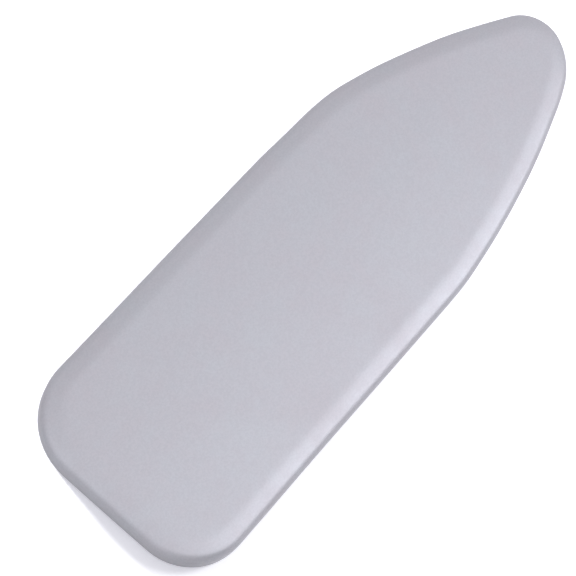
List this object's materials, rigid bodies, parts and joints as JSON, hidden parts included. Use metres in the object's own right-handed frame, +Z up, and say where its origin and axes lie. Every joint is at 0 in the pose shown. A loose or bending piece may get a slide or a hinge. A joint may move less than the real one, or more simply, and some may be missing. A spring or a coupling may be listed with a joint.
{
  "type": "ironing board cover",
  "caption": "Padded metallised ironing board cover in its fitted shape, open below, with an elastic hem and fastening straps across the opening.",
  "frame": {"origin": "on the floor under the middle of the cover's bounding box", "axes": "+X to the nose, +Y to the left of someone who faces the nose, +Z up through the ironing surface"},
  "size_m": [1.216, 0.397, 0.044],
  "materials": {
    "skin_cloth": "metallised cotton with a satin sheen",
    "foam": "open-cell foam sheet",
    "felt": "needle felt",
    "binding": "plain woven binding tape",
    "elastic": "braided elastic",
    "webbing": "ribbed elastic webbing",
    "hook_tape": "hook tape",
    "loop_tape": "brushed loop tape"
  },
  "bodies": {
    "root": {"cover_fabric": "skin_cloth", "foam_pad": "foam", "felt_underlay": "felt", "hem_casing": "binding", "hem_elastic": "elastic", "nose_strap_hook_anchor": "webbing", "nose_strap_loop_anchor": "webbing", "middle_strap_hook_anchor": "webbing", "middle_strap_loop_anchor": "webbing", "tail_strap_hook_anchor": "webbing", "tail_strap_loop_anchor": "webbing"},
    "nose_strap_hook_half": {"nose_strap_hook_webbing": "webbing", "nose_strap_hook_patch": "hook_tape"},
    "nose_strap_loop_half": {"nose_strap_loop_webbing": "webbing", "nose_strap_loop_patch": "loop_tape"},
    "middle_strap_hook_half": {"middle_strap_hook_webbing": "webbing", "middle_strap_hook_patch": "hook_tape"},
    "middle_strap_loop_half": {"middle_strap_loop_webbing": "webbing", "middle_strap_loop_patch": "loop_tape"},
    "tail_strap_hook_half": {"tail_strap_hook_webbing": "webbing", "tail_strap_hook_patch": "hook_tape"},
    "tail_strap_loop_half": {"tail_strap_loop_webbing": "webbing", "tail_strap_loop_patch": "loop_tape"}
  },
  "joints": [
    {"name": "nose_strap_open", "type": "hinge", "parent": "root", "child": "nose_strap_hook_half", "pos_m": [0.2432, -0.09482, 0], "axis": [-1, 0, 0], "range_deg": [0, 140]},
    {"name": "nose_strap_loop_drop", "type": "hinge", "parent": "root", "child": "nose_strap_loop_half", "pos_m": [0.2432, 0.09936, 0], "axis": [1, 0, 0], "range_deg": [0, 105]},
    {"name": "middle_strap_open", "type": "hinge", "parent": "root", "child": "middle_strap_hook_half", "pos_m": [-0.0608, -0.1255, 0], "axis": [-1, 0, 0], "range_deg": [0, 140]},
    {"name": "middle_strap_loop_drop", "type": "hinge", "parent": "root", "child": "middle_strap_loop_half", "pos_m": [-0.0608, 0.1255, 0], "axis": [1, 0, 0], "range_deg": [0, 105]},
    {"name": "tail_strap_open", "type": "hinge", "parent": "root", "child": "tail_strap_hook_half", "pos_m": [-0.3648, -0.1255, 0], "axis": [-1, 0, 0], "range_deg": [0, 140]},
    {"name": "tail_strap_loop_drop", "type": "hinge", "parent": "root", "child": "tail_strap_loop_half", "pos_m": [-0.3648, 0.1255, 0], "axis": [1, 0, 0], "range_deg": [0, 105]}
  ],
  "couplings": [
    {"joint": "nose_strap_loop_drop", "follows": "nose_strap_open", "ratio": 0.75},
    {"joint": "middle_strap_loop_drop", "follows": "middle_strap_open", "ratio": 0.75},
    {"joint": "tail_strap_loop_drop", "follows": "tail_strap_open", "ratio": 0.75}
  ]
}
